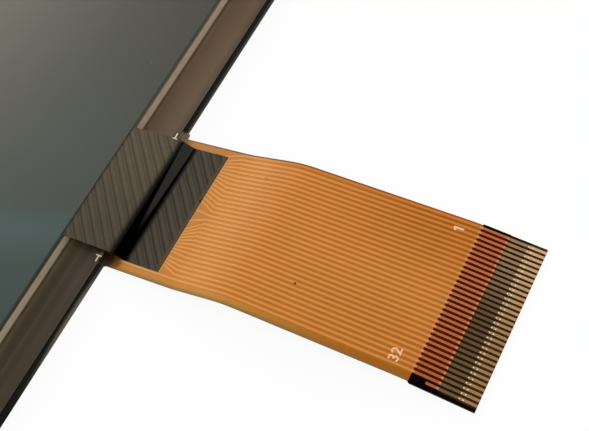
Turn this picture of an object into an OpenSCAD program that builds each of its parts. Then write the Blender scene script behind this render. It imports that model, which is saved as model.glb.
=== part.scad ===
// Liquid crystal display panel for a car radio, with a driver chip on its contact ledge and a bonded flex
// tail. The panel lies on its rear face. X runs along the long edge, the flex leaves towards -Y, and Z points
// out of the front. The origin is the centre of the rear face.

/* [Glass cell] */
// Width of both glass plates, along the edge that the flex leaves
panel_w = 100; // [60:1:160]
// Depth of the rear glass plate, ledge included
panel_d = 42; // [30:1:80]
// Thickness of each glass plate
glass_t = 1.1; // [0.5:0.05:1.5]
// Depth of the contact ledge, where the rear plate stands out past the front plate
ledge_d = 4.8; // [4.2:0.1:8]
// Space between the plates, drawn thicker than the real few thousandths
cell_gap = 0.03; // [0.02:0.01:0.1]

/* [Seal and fill port] */
// Width of the seal line around the cell
seal_w = 1.2; // [0.6:0.1:2]
// Distance from the front plate's edge to the seal
seal_inset = 0.4; // [0.2:0.1:1]
// Width of the fill port through the seal
port_w = 4; // [2:0.5:8]
// Height of each plate's side that the resin bead over the port leaves bare
plug_margin = 0.3; // [0.1:0.05:0.4]
// How far the resin bead stands out of the side of the plates
plug_bulge = 0.3; // [0.1:0.05:0.5]
// How far the resin bead reaches past the port at each end
plug_lap = 1.2; // [0.5:0.1:3]

/* [Polarisers] */
// Thickness of each polarising film
polariser_t = 0.2; // [0.1:0.01:0.3]
// Margin of bare glass around each polarising film
polariser_inset = 0.2; // [0.1:0.05:1]

/* [Driver chip] */
// Length of the driver chip, along the ledge
chip_l = 11; // [6:0.5:12.5]
// Width of the driver chip
chip_w = 1.3; // [0.8:0.1:1.6]
// Thickness of the driver chip
chip_t = 0.5; // [0.3:0.05:0.6]
// Distance from the front plate's edge to the driver chip
chip_gap = 0.9; // [0.5:0.1:1.2]
// How far the chip's bond film shows around the chip
chip_bond_lap = 0.1; // [0.05:0.05:0.2]

/* [Flex contacts] */
// Number of contact fingers at the tail
contact_count = 32; // [12:1:40]
// Distance between neighbouring fingers
contact_pitch = 0.5; // [0.4:0.05:0.6]
// Width of a conductor and of its finger
conductor_w = 0.26; // [0.2:0.01:0.34]
// Sideways offset of the conductors from the middle of the flex
conductor_shift = 0.09; // [0:0.01:0.15]
// Distance between neighbouring conductors at the glass bond
bond_pitch = 0.27; // [0.22:0.01:0.36]
// Width of a conductor at the glass bond
bond_conductor_w = 0.14; // [0.08:0.01:0.18]
// Distance from the glass edge to where the conductors start to fan out
fan_start = 6.5; // [5:0.1:7]
// Distance from the glass edge to where the conductors run parallel
fan_end = 9.15; // [8.5:0.05:9.3]
// Length of the bare fingers at the tail
finger_l = 3.5; // [2:0.1:5]
// Length of the last finger, which joins no conductor
stub_l = 4.7; // [3.8:0.1:5.5]

/* [Flex film] */
// Distance from the side of the tail to the middle of the outermost finger
tail_margin = 0.5; // [0.35:0.05:1]
// Step from the side of the tail in to the side of the flex
flex_step = 0.1; // [0:0.05:0.15]
// Step from the side of the tail in to the side of the tongue that is bonded to the ledge
tongue_step = 1.5; // [0.8:0.1:1.6]
// Distance from the glass edge to the shoulder where the flex takes its full width
shoulder_at = 1.05; // [1:0.05:1.4]
// Length of the bond on the ledge
bond_d = 1.7; // [1.2:0.1:1.9]
// Thickness of the conductive bond films
bond_t = 0.02; // [0.01:0.01:0.05]
// Thickness of the conductors
conductor_t = 0.035; // [0.018:0.001:0.05]
// Thickness of the upper film over the conductors
coverlay_t = 0.05; // [0.025:0.005:0.08]
// Thickness of the lower film
base_t = 0.05; // [0.025:0.005:0.08]
// Distance from the glass edge to the start of the lower film
base_start = 0.25; // [0.15:0.01:0.4]
// Thickness of the tail that the connector grips
tail_t = 0.3; // [0.25:0.01:0.4]
// Length of the stiffener at the tail
stiffener_l = 6.05; // [5.6:0.05:6.1]

/* [Flex bends] */
// Length from the glass edge to the first bend, flat
lead_run = 0.5; // [0.4:0.05:0.8]
// Length of the first slope, from bend to bend
first_run = 9.25; // [9.2:0.05:12]
// Length of the second slope, up to the crease
rise_run = 6.6; // [4:0.1:10]
// Length of the long slope down from the crease
fall_run = 18.25; // [16:0.25:30]
// Length of the stiff tail
tail_run = 6.75; // [6.7:0.05:8]
// Slope of the first run
first_slope = 4.2; // [2:0.1:6]
// Slope of the second run
rise_slope = 11.75; // [8:0.25:14]
// Slope of the tail, downwards
tail_slope = 11.7; // [9:0.1:14]
// Radius of the bends
bend_r = 9; // [4:0.5:10]
// Gap between the tip of the tail and the surface that the panel lies on
tip_gap = 0.02; // [0:0.01:1]

/* [Cover tape] */
// How far the tape reaches past the tongue at each end
tape_lap = 0.35; // [0.1:0.05:0.6]
// Thickness of the tape
tape_t = 0.1; // [0.05:0.01:0.15]
// Sideways offset of the tape from the middle of the flex
tape_shift = 0.1; // [0:0.05:0.3]
// Gap between the tape and the front polarising film
tape_gap = 0.03; // [0.02:0.01:0.05]
// Distance from the glass edge to the shoulder of the tape
tape_shoulder = 1.75; // [1.5:0.05:1.9]
// Distance from the glass edge to the foot of the tape, along the flex
tape_foot = 2.75; // [2.7:0.05:3.2]
// Distance from the glass edge to the end of the tape, along the flex
tape_end = 7.3; // [5:0.1:8]
// Radius of the tape's shoulder and foot
tape_bend_r = 0.9; // [0.4:0.05:1]
// Straight length of tape after the middle of the foot
tape_foot_run = 0.6; // [0.5:0.05:1]
// Depth of the nick in the tape's outer edge
nick_d = 0.2; // [0.1:0.05:0.3]
// Place of the nick along the tape
nick_x = 1.6; // [-4:0.1:4]

/* [Edge resin and marks] */
// How far the resin bead reaches out under the flex
resin_w = 1.2; // [0.8:0.05:1.5]
// Radius of the outer corners of the resin bead
resin_end_r = 0.4; // [0.2:0.05:0.6]
// Height of the rear plate's side that the resin bead leaves bare
resin_margin = 0.35; // [0.1:0.05:0.4]
// How far the resin bead reaches past the tongue on the left
resin_left_lap = 1.5; // [0.6:0.05:2]
// How far the resin bead reaches past the tongue on the right
resin_right_lap = 2.15; // [0.6:0.05:2.5]
// Thickness of the alignment marks, drawn thicker than the real metal film
mark_t = 0.02; // [0.01:0.01:0.05]
// Width of the lines of an alignment mark
mark_line = 0.16; // [0.08:0.01:0.2]
// Length of the bar of an alignment mark
mark_bar = 0.74; // [0.5:0.02:1]
// Length of the stem of an alignment mark
mark_stem = 0.72; // [0.5:0.02:1]
// Length of the short bar beside an alignment mark
mark_short_bar = 0.46; // [0.3:0.02:0.6]
// Distance from the middle of the short bar to the middle of the long bar
mark_bar_step = 0.3; // [0.25:0.01:0.4]
// Distance from the tongue to the short bar of the left mark
left_mark_gap = 0.2; // [0.1:0.05:1]
// Distance from the tongue to the short bar of the right mark
right_mark_gap = 0.7; // [0.1:0.05:1]
// Distance from the glass edge to the alignment marks
mark_edge = 0.04; // [0.02:0.01:0.2]

/* [Hidden] */
$fn = 48;
// Facets of one bend of a film
bend_steps = 4;
// How far a cutting shape reaches past what it cuts
over = 1;
// Points of an outline that lie closer than this are one point
near = 0.001;
ledge_z = polariser_t + glass_t;
front_z = ledge_z + cell_gap;
front_top = front_z + glass_t;
edge_y = -panel_d / 2;
front_d = panel_d - ledge_d;
front_y = edge_y + ledge_d;
stiffener_t = tail_t - base_t - conductor_t;
film_top = conductor_t + coverlay_t;
port_l = seal_inset + seal_w;
port_y = front_y + front_d / 2;
tail_w = (contact_count - 1) * contact_pitch + 2 * tail_margin;
flex_w = tail_w - 2 * flex_step;
tongue_w = tail_w - 2 * tongue_step;
tape_l = tongue_w + 2 * tape_lap;

// A path in the side view is [start point, legs]. The side view measures u outwards from the glass edge and z
// upwards. A leg is [length, slope at its start, slope at its end], and a leg with two slopes is a bend.
function bend_tangent(r, a, b) = r * tan(abs(b - a) / 2);
function bend_length(r, a, b) = r * abs(b - a) * PI / 180;
function straight_run(runs, slopes, r, i) =
    runs[i]
    - (i > 0 ? bend_tangent(r, slopes[i - 1], slopes[i]) : 0)
    - (i < len(runs) - 1 ? bend_tangent(r, slopes[i], slopes[i + 1]) : 0);
function make_legs(runs, slopes, r) = [
    for (i = [0 : len(runs) - 1])
        each concat(
            [[straight_run(runs, slopes, r, i), slopes[i], slopes[i]]],
            i < len(runs) - 1 ? [[bend_length(r, slopes[i], slopes[i + 1]), slopes[i], slopes[i + 1]]] : []
        )
];
function is_bend(leg) = leg[1] != leg[2];
function slope_in(leg, t) = leg[1] + (leg[2] - leg[1]) * t / leg[0];
function turn_radius(leg) = leg[0] * 180 / PI / (leg[2] - leg[1]);
function move_in(leg, t) = is_bend(leg)
    ? turn_radius(leg) * [sin(slope_in(leg, t)) - sin(leg[1]), cos(leg[1]) - cos(slope_in(leg, t))]
    : t * [cos(leg[1]), sin(leg[1])];
function leg_from(path, i) = i == 0 ? 0 : leg_from(path, i - 1) + path[1][i - 1][0];
function leg_point(path, i) = i == 0 ? path[0]
    : leg_point(path, i - 1) + move_in(path[1][i - 1], path[1][i - 1][0]);
function leg_at(path, s) = len([for (i = [1 : len(path[1]) - 1]) if (leg_from(path, i) <= s) i]);
function path_length(path) = leg_from(path, len(path[1]));

// Point at distance s along a path, lifted off it at right angles
function spot(path, s, lift = 0) =
    let (i = leg_at(path, s), leg = path[1][i], t = s - leg_from(path, i), a = slope_in(leg, t))
    leg_point(path, i) + move_in(leg, t) + lift * [-sin(a), cos(a)];

// Distances between two ends of a path at which a layer gets a point
function stations(path, from, to) = concat(
    [from],
    [
        for (i = [0 : len(path[1]) - 1], k = [1 : bend_steps])
            let (s = leg_from(path, i) + path[1][i][0] * k / bend_steps)
            if ((is_bend(path[1][i]) || k == bend_steps) && s > from + near && s < to - near) s
    ],
    [to]
);

function reversed(list) = [for (i = [len(list) - 1 : -1 : 0]) list[i]];

// Outline of a layer that follows a path between two distances, and lies between two lifts
function layer_outline(path, from, to, low, high) =
    let (along = stations(path, from, to))
    concat([for (s = along) spot(path, s, low)], [for (s = reversed(along)) spot(path, s, high)]);

// The flex path is the face between the lower film and the conductors. The long slope is worked out so that
// the tip of the tail ends just above the surface that the panel lies on.
flex_z = ledge_z + bond_t;
tip_z = tip_gap + (base_t + stiffener_t) * cos(tail_slope);
crease_z = flex_z + first_run * sin(first_slope) + rise_run * sin(rise_slope);
fall_drop = crease_z - tail_run * sin(tail_slope) - tip_z;
fall_slope = -asin(fall_drop / fall_run);
flex_path = [
    [-bond_d, flex_z],
    make_legs(
        [bond_d + lead_run, first_run, rise_run, fall_run, tail_run],
        [0, first_slope, rise_slope, fall_slope, -tail_slope],
        bend_r
    )
];
flex_end = path_length(flex_path) - bond_d;
coverlay_end = flex_end - finger_l;
stiffener_start = flex_end - stiffener_l;
function flex_spot(s, lift = 0) = spot(flex_path, s + bond_d, lift);

// The tape path is the tape's lower face as far as its foot: flat on the front plate, down a step, and onto
// the upper film, which the rest of the tape follows
tape_start = [-ledge_d - polariser_inset + tape_gap, front_top];
tape_corner = [tape_shoulder, front_top];
tape_landing = flex_spot(tape_foot, film_top);
tape_drop = tape_landing - tape_corner;
tape_path = [
    tape_start,
    make_legs(
        [tape_shoulder - tape_start[0], norm(tape_drop), tape_foot_run],
        [0, atan2(tape_drop[1], tape_drop[0]), first_slope],
        tape_bend_r
    )
];

function tape_face(lift) = concat(
    [for (s = stations(tape_path, 0, path_length(tape_path))) spot(tape_path, s, lift)],
    [
        for (s = stations(flex_path, tape_foot + tape_foot_run + bond_d, tape_end + bond_d))
            if (s > tape_foot + tape_foot_run + bond_d) spot(flex_path, s, film_top + lift)
    ]
);

// Conductors are numbered from 1. The last contact has a finger but no conductor. At the bond they lie in two
// close groups with one straight conductor between them.
line_count = contact_count - 1;
group_size = floor((line_count - 1) / 2);
function pin_x(i) = conductor_shift + contact_pitch * ((contact_count - 1) / 2 - (i - 1));
function group_middle(i) =
    i <= group_size ? (1 + group_size) / 2
    : i == group_size + 1 ? i
    : (group_size + 2 + line_count) / 2;
function bond_x(i) = pin_x(group_middle(i)) - bond_pitch * (i - group_middle(i));

// Point in the plan view, at x and at distance u out from the glass edge
function plan(x, u) = [x, edge_y - u];

// Solid with a side-view outline, along X
module side_prism(outline, width) {
    translate([0, edge_y, 0])
        rotate([90, 0, -90])
            linear_extrude(width, center = true)
                polygon(outline);
}

// Part of the flex sheet between two distances from the glass edge and two lifts off the flex path
module flex_layer(from, to, low, high) {
    side_prism(layer_outline(flex_path, from + bond_d, to + bond_d, low, high), tail_w + 2 * over);
}

// Upright column through the whole height of the flex, over a plan shape
module flex_column() {
    translate([0, 0, -over])
        linear_extrude(crease_z + 2 * over)
            children();
}

// Plan of the flex film: tongue, shoulders, body and tail
module flex_plan() {
    shoulder_u = flex_spot(shoulder_at)[0];
    tail_u = flex_spot(stiffener_start)[0];
    end_u = flex_spot(flex_end)[0] + over;
    half = [tongue_w / 2, flex_w / 2, tail_w / 2];
    from_u = [-bond_d - over, shoulder_u, tail_u, end_u];
    polygon(concat(
        [for (k = [0 : 2], u = [from_u[k], from_u[k + 1]]) plan(half[k], u)],
        [for (k = [2 : -1 : 0], u = [from_u[k + 1], from_u[k]]) plan(-half[k], u)]
    ));
}

// Plan of one conductor: narrow at the bond, fanned out to the pitch of the tail
module conductor_plan(i) {
    far_u = flex_spot(flex_end)[0] + over;
    fan_u = [flex_spot(fan_start)[0], flex_spot(fan_end)[0]];
    w = [bond_conductor_w / 2, conductor_w / 2];
    polygon([
        plan(bond_x(i) + w[0], -bond_d - over),
        plan(bond_x(i) + w[0], fan_u[0]),
        plan(pin_x(i) + w[1], fan_u[1]),
        plan(pin_x(i) + w[1], far_u),
        plan(pin_x(i) - w[1], far_u),
        plan(pin_x(i) - w[1], fan_u[1]),
        plan(bond_x(i) - w[0], fan_u[0]),
        plan(bond_x(i) - w[0], -bond_d - over)
    ]);
}

// Plan of the last finger, which stops short
module stub_plan() {
    stub_u = flex_spot(flex_end - stub_l)[0];
    far_u = flex_spot(flex_end)[0] + over;
    polygon([for (e = [[1, stub_u], [1, far_u], [-1, far_u], [-1, stub_u]])
        plan(pin_x(contact_count) + e[0] * conductor_w / 2, e[1])]);
}

// All conductors, from a lift below their lower face up to their upper face
module conductor_set(low) {
    intersection() {
        flex_layer(-bond_d, flex_end, low, conductor_t);
        flex_column() {
            for (i = [1 : line_count])
                conductor_plan(i);
            stub_plan();
        }
    }
}

// Lower glass plate, with the contact ledge on the flex side
module rear_glass() {
    color([0.62, 0.68, 0.66, 0.6])
        translate([-panel_w / 2, edge_y, polariser_t])
            cube([panel_w, panel_d, glass_t]);
}

// Upper glass plate, shorter by the ledge
module front_glass() {
    color([0.68, 0.74, 0.72, 0.6])
        translate([-panel_w / 2, front_y, front_z])
            cube([panel_w, front_d, glass_t]);
}

// Rectangle of the front plate's plan, drawn in by a margin
module front_plan(margin) {
    translate([-panel_w / 2 + margin, front_y + margin])
        square([panel_w - 2 * margin, front_d - 2 * margin]);
}

// Seal line around the cell, open at the fill port on the right
module perimeter_seal() {
    color([0.75, 0.75, 0.7])
        translate([0, 0, ledge_z])
            linear_extrude(cell_gap)
                difference() {
                    front_plan(seal_inset);
                    front_plan(seal_inset + seal_w);
                    translate([panel_w / 2 - port_l - over, port_y - port_w / 2])
                        square([port_l + 2 * over, port_w]);
                }
}

// The fill of the cell, inside the seal
module liquid_crystal() {
    color([0.35, 0.45, 0.45])
        translate([0, 0, ledge_z])
            linear_extrude(cell_gap)
                front_plan(seal_inset + seal_w);
}

// Cured resin in the fill port, with a pillow-shaped bead on the side of the plates
module fill_port_plug() {
    plug_l = port_w + 2 * plug_lap;
    plug_h = 2 * (glass_t - plug_margin) + cell_gap;
    side_r = (pow(plug_h / 2, 2) + pow(plug_bulge, 2)) / (2 * plug_bulge);
    long_r = (pow(plug_l / 2, 2) + pow(plug_bulge, 2)) / (2 * plug_bulge);
    mid_z = ledge_z + cell_gap / 2;
    $fn = 360;
    color([0.8, 0.72, 0.5]) {
        translate([panel_w / 2 - port_l, port_y - port_w / 2, ledge_z])
            cube([port_l, port_w, cell_gap]);
        intersection() {
            translate([panel_w / 2 + plug_bulge - side_r, port_y, mid_z])
                rotate([90, 0, 0])
                    cylinder(r = side_r, h = plug_l + 2 * over, center = true);
            translate([panel_w / 2 + plug_bulge - long_r, port_y, mid_z])
                cylinder(r = long_r, h = plug_h + 2 * over, center = true);
            translate([panel_w / 2, port_y - plug_l, mid_z - plug_h])
                cube([over, 2 * plug_l, 2 * plug_h]);
        }
    }
}

// Polarising film on the front plate
module front_polariser() {
    color([0.27, 0.33, 0.33])
        translate([0, 0, front_top])
            linear_extrude(polariser_t)
                front_plan(polariser_inset);
}

// Polarising film on the rear plate, which reaches under the ledge
module rear_polariser() {
    color([0.15, 0.15, 0.15])
        translate([-panel_w / 2 + polariser_inset, edge_y + polariser_inset, 0])
            cube([panel_w - 2 * polariser_inset, panel_d - 2 * polariser_inset, polariser_t]);
}

// Block on the ledge, beside the front plate, grown on all sides by a margin
module chip_block(z, t, margin) {
    translate([-chip_l / 2 - margin, front_y - chip_gap - chip_w - margin, z])
        cube([chip_l + 2 * margin, chip_w + 2 * margin, t]);
}

// Driver chip, face down on the ledge
module driver_chip() {
    color([0.2, 0.2, 0.22])
        chip_block(ledge_z + bond_t, chip_t, 0);
}

// Conductive bond film under the chip
module chip_bond_film() {
    color([0.7, 0.65, 0.5])
        chip_block(ledge_z, bond_t, chip_bond_lap);
}

// Conductive bond film between the ledge and the flex tongue
module flex_bond_film() {
    color([0.7, 0.65, 0.5])
        translate([-tongue_w / 2, edge_y, ledge_z])
            cube([tongue_w, bond_d, bond_t]);
}

// Lower polyimide film, from just past the glass edge to the tip
module flex_base_film() {
    color([0.72, 0.45, 0.12])
        intersection() {
            flex_layer(base_start, flex_end, -base_t, 0);
            flex_column() flex_plan();
        }
}

// Copper lines and plated fingers
module flex_conductors() {
    color([0.78, 0.5, 0.25])
        conductor_set(0);
}

// Upper polyimide film with its adhesive, which fills the spaces between the conductors
module flex_coverlay() {
    color([0.8, 0.5, 0.15])
        difference() {
            intersection() {
                flex_layer(-bond_d, coverlay_end, 0, film_top);
                flex_column() flex_plan();
            }
            conductor_set(-over);
        }
}

// Dark strip under the tail, which brings it to the thickness that a connector grips
module tail_stiffener() {
    color([0.1, 0.08, 0.06])
        intersection() {
            flex_layer(stiffener_start, flex_end, -base_t - stiffener_t, -base_t);
            flex_column() flex_plan();
        }
}

// Stiff tape over the ledge and the start of the flex, with a nick in its outer edge
module cover_tape() {
    nick_u = flex_spot(tape_end)[0];
    color([0.27, 0.26, 0.24])
        difference() {
            translate([tape_shift, 0, 0])
                side_prism(concat(tape_face(0), reversed(tape_face(tape_t))), tape_l);
            flex_column()
                polygon([plan(nick_x, nick_u - nick_d), plan(nick_x + nick_d, nick_u + nick_d),
                    plan(nick_x - nick_d, nick_u + nick_d)]);
        }
}

// Resin bead in the corner between the side of the rear plate and the flex
module edge_resin() {
    low_z = polariser_t + resin_margin;
    left = tongue_w / 2 + resin_left_lap - resin_end_r;
    right = tongue_w / 2 + resin_right_lap - resin_end_r;
    tip = flex_spot(resin_w, -base_t);
    hollow = [for (k = [1 : bend_steps]) let (a = 90 * k / bend_steps)
        [tip[0] * (1 - sin(a)), low_z + (tip[1] - low_z) * cos(a)]];
    outline = concat(
        [for (s = stations(flex_path, bond_d, base_start + bond_d)) spot(flex_path, s)],
        [for (s = stations(flex_path, base_start + bond_d, resin_w + bond_d)) spot(flex_path, s, -base_t)],
        hollow
    );
    color([0.55, 0.42, 0.25])
        intersection() {
            side_prism(outline, 2 * panel_w);
            flex_column() {
                translate([-left, edge_y - resin_w])
                    square([left + right, resin_w]);
                translate([-left - resin_end_r, edge_y - resin_w + resin_end_r])
                    square([left + right + 2 * resin_end_r, resin_w - resin_end_r]);
                for (x = [-left, right])
                    translate([x, edge_y - resin_w + resin_end_r])
                        circle(r = resin_end_r);
            }
        }
}

// One mark, drawn to the right of the tongue: a short bar, a T with its bar beside it and its stem outwards
module mark_plan() {
    square([mark_line, mark_short_bar]);
    translate([mark_bar_step, 0])
        square([mark_line, mark_bar]);
    translate([mark_bar_step, (mark_bar - mark_line) / 2])
        square([mark_line / 2 + mark_stem, mark_line]);
}

// Metal marks on the ledge that line up the flex with the glass
module alignment_marks() {
    color([0.9, 0.78, 0.5])
        translate([0, edge_y + mark_edge, ledge_z])
            linear_extrude(mark_t) {
                translate([tongue_w / 2 + right_mark_gap, 0])
                    mark_plan();
                translate([-tongue_w / 2 - left_mark_gap, 0])
                    mirror([1, 0])
                        mark_plan();
            }
}

rear_glass();
front_glass();
perimeter_seal();
liquid_crystal();
fill_port_plug();
front_polariser();
rear_polariser();
driver_chip();
chip_bond_film();
flex_bond_film();
flex_base_film();
flex_conductors();
flex_coverlay();
tail_stiffener();
cover_tape();
edge_resin();
alignment_marks();
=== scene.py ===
import math
from types import SimpleNamespace

import bmesh
import bpy
import numpy as np
from mathutils import Matrix, Quaternion, Vector


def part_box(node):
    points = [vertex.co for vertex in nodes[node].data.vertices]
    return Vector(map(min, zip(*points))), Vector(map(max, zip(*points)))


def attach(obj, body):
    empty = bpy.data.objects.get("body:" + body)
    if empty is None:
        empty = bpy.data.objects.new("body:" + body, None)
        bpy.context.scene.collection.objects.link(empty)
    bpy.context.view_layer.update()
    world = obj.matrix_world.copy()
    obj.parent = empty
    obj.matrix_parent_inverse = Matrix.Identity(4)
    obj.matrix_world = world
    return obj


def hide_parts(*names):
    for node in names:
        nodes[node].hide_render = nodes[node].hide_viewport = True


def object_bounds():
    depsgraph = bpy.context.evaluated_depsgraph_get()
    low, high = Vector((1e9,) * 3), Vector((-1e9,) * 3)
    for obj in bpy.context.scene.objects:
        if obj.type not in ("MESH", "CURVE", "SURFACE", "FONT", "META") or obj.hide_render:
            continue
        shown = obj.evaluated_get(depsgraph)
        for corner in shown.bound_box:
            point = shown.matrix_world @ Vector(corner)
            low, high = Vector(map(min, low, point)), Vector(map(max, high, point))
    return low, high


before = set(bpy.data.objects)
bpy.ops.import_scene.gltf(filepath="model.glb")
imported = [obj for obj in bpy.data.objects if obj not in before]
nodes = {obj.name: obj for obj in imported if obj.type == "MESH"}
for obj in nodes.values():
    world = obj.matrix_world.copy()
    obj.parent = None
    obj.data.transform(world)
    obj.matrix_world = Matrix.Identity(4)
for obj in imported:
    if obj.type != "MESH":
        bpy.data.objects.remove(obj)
cad_low, cad_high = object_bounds()

# Table and studio. The panel lies on a wide matt white table that runs out to a white surround. One broad
# soft lamp hangs overhead, another stands low behind the panel, and the camera looks down across the flex.
mm = 0.001
scene = bpy.context.scene
scene.view_settings.view_transform = "Standard"


class Field:
    """A number that nodes work out, which may change over a surface or a sheet. A sum of fields, plain
    numbers and sockets adds maths nodes to the field's own tree."""

    def __init__(self, socket):
        self.socket = socket
        self.tree = socket.id_data

    def __add__(self, other):
        return calc("ADD", self, other)

    def __sub__(self, other):
        return calc("SUBTRACT", self, other)

    def __rsub__(self, other):
        return calc("SUBTRACT", other, self)

    def __mul__(self, other):
        return calc("MULTIPLY", self, other)

    def __truediv__(self, other):
        return calc("DIVIDE", self, other)

    def __gt__(self, other):
        return calc("GREATER_THAN", self, other)

    def __lt__(self, other):
        return calc("LESS_THAN", self, other)

    def __abs__(self):
        return calc("ABSOLUTE", self)


def feed(target, value):
    """Gives a node's input its value: a number, a colour, a field or another node's output."""
    source = value.socket if isinstance(value, Field) else value
    if isinstance(source, bpy.types.NodeSocket):
        target.id_data.links.new(source, target)
    else:
        target.default_value = source


def add(tree, kind, inputs=None, **options):
    """Adds a node to a tree, sets its options and feeds its inputs, which are named or numbered."""
    node = tree.nodes.new(kind)
    for option, choice in options.items():
        setattr(node, option, choice)
    for key, value in (inputs or {}).items():
        feed(node.inputs[key], value)
    return node


def calc(operation, *terms):
    """A maths node's result over fields, sockets and numbers. One of them at least is a field."""
    tree = next(term.tree for term in terms if isinstance(term, Field))
    return Field(add(tree, "ShaderNodeMath", dict(enumerate(terms)), operation=operation).outputs[0])


def most(first, second):
    """The larger of two numbers at each point."""
    return calc("MAXIMUM", first, second)


room_light = 0.5
mirror_light = 0.12
surround_white = (1, 1, 1, 1)
surround = bpy.data.worlds.new("white_surround")
surround.use_nodes = True
scene.world = surround
rays = add(surround.node_tree, "ShaderNodeLightPath").outputs
surround_level = Field(rays["Is Glossy Ray"]) * (mirror_light - room_light) + room_light
backdrop = surround.node_tree.nodes["Background"].inputs
feed(backdrop["Color"], surround_white)
feed(backdrop["Strength"], most(surround_level, rays["Is Camera Ray"]))


def placed(name, data):
    """A new object at the origin of the scene."""
    made = bpy.data.objects.new(name, data)
    scene.collection.objects.link(made)
    return made


def mesh_of(name, form):
    """A mesh with the shape of a form, which is used up."""
    mesh = bpy.data.meshes.new(name)
    form.to_mesh(mesh)
    form.free()
    return mesh


table_radius = 4.0
table_gap = 0.02 * mm
table_white = (0.9, 0.9, 0.9, 1)
table_glow = 0.92
table_form = bmesh.new()
bmesh.ops.create_circle(table_form, cap_ends=True, segments=96, radius=table_radius)
table_mesh = mesh_of("table", table_form)
table_mesh.transform(Matrix.Translation((0, 0, cad_low.z - table_gap)))
table = placed("table", table_mesh)
table_paint = bpy.data.materials.new("matt_white")
table_paint.use_nodes = True
paint_tree = table_paint.node_tree
paint_tree.nodes.clear()
rays = add(paint_tree, "ShaderNodeLightPath").outputs
seen_plainly = most(most(Field(rays["Is Camera Ray"]), rays["Is Glossy Ray"]), rays["Is Transmission Ray"])
paint_matt = add(paint_tree, "ShaderNodeBsdfDiffuse", {"Color": table_white}).outputs[0]
paint_glow = add(paint_tree, "ShaderNodeEmission", {"Strength": 1.0}).outputs[0]
paint_parts = {"Fac": seen_plainly * table_glow, 1: paint_matt, 2: paint_glow}
paint_mix = add(paint_tree, "ShaderNodeMixShader", paint_parts)
add(paint_tree, "ShaderNodeOutputMaterial", {"Surface": paint_mix.outputs[0]})
table_mesh.materials.append(table_paint)


def soft_lamp(name, place, aim, width, power):
    """A square soft lamp at a place, turned towards a point. Width is in metres and power in watts."""
    lamp = bpy.data.lights.new(name, "AREA")
    lamp.size = width
    lamp.energy = power
    holder = placed(name, lamp)
    holder.location = place
    holder.rotation_euler = (Vector(aim) - Vector(place)).to_track_quat("-Z", "Y").to_euler()


flex_middle = (0.0, -0.04, 0.0)
soft_lamp("overhead_lamp", (-0.15, -0.15, 0.8), flex_middle, width=0.8, power=3.3)
soft_lamp("low_lamp", (0.2, 0.43, 0.2), flex_middle, width=0.25, power=1.2)

camera_place = Vector((-33.656, -85.015, 81.994)) * mm
camera_aim = Vector((3.499, -38.146, 1.3)) * mm
camera_roll = math.radians(-27.794)
camera_lens = 63.146
camera = bpy.data.cameras.new("camera")
camera.lens = camera_lens
camera.sensor_width = 36.0
camera.clip_start = 0.005
camera_holder = placed("camera", camera)
camera_holder.location = camera_place
camera_holder.rotation_mode = "QUATERNION"
level_turn = (camera_aim - camera_place).to_track_quat("-Z", "Y")
camera_holder.rotation_quaternion = level_turn @ Quaternion((0, 0, 1), camera_roll)
scene.camera = camera_holder


def node_group(name, kind, takes, gives):
    """A new node group with named sockets. Returns it, and its own ends of what it takes and gives."""
    group = bpy.data.node_groups.new(name, kind)
    for way, sockets in (("INPUT", takes), ("OUTPUT", gives)):
        for label, what in sockets.items():
            group.interface.new_socket(name=label, in_out=way, socket_type="NodeSocket" + what)
    return group, add(group, "NodeGroupInput").outputs, add(group, "NodeGroupOutput").inputs


def surface_point(tree):
    """The point of a surface in the part's own frame, in metres."""
    return add(tree, "ShaderNodeTexCoord").outputs["Object"]


def noise(vector, scale, detail=3.0):
    """Smooth noise from 0 to 1 over a vector, with features about 1/scale metres wide."""
    cloud = add(vector.id_data, "ShaderNodeTexNoise", {"Vector": vector, "Scale": scale, "Detail": detail})
    return Field(cloud.outputs["Fac"])


def join_vectors(operation, first, second):
    """A vector that is scaled by a field, or the sum of two vectors."""
    second_input = "Scale" if operation == "SCALE" else 1
    terms = {0: first, second_input: second}
    return add(first.id_data, "ShaderNodeVectorMath", terms, operation=operation).outputs[0]


surface_grain, given, result = node_group(
    "surface_grain",
    "ShaderNodeTree",
    {"Colour": "Color", "Scale": "Float", "Mottle": "Float", "Roughness": "Float", "Spread": "Float"},
    {"Colour": "Color", "Roughness": "Float", "Height": "Float"},
)
fine_times = 9.0
fine_share = 0.6
grain_point = surface_point(surface_grain)
coarse = noise(grain_point, given["Scale"]) - 0.5
fine = noise(grain_point, Field(given["Scale"]) * fine_times) - 0.5
grain_shade = (fine * fine_share + coarse) * given["Mottle"] + 1.0
feed(result["Colour"], join_vectors("SCALE", given["Colour"], grain_shade))
feed(result["Roughness"], coarse * given["Spread"] + given["Roughness"])
feed(result["Height"], fine)


def finish(name, colour, grain, mottle, rough, spread, gloss=0.5, bump=0.0, more=None):
    """A new material with a grained colour, roughness and bump. The grain is 1/grain metres wide and
    changes the colour by mottle and the roughness by spread. Gloss is the shader's specular level, bump the
    grain's depth in metres, and more holds other values of the shader."""
    material = bpy.data.materials.new(name)
    material.use_nodes = True
    tree = material.node_tree
    values = {"Colour": colour, "Scale": grain, "Mottle": mottle, "Roughness": rough, "Spread": spread}
    grained = add(tree, "ShaderNodeGroup", values, name="grain", node_tree=surface_grain).outputs
    looks = {
        "Base Color": grained["Colour"],
        "Roughness": grained["Roughness"],
        "Specular IOR Level": gloss,
    }
    if bump:
        relief = add(tree, "ShaderNodeBump", {"Distance": bump, "Height": grained["Height"]})
        looks["Normal"] = relief.outputs["Normal"]
    for key, value in {**looks, **(more or {})}.items():
        feed(tree.nodes["Principled BSDF"].inputs[key], value)
    return material


def tint(material, colour):
    """Gives a finish a colour that changes over its surface."""
    feed(material.node_tree.nodes["grain"].inputs["Colour"], colour)


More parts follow.
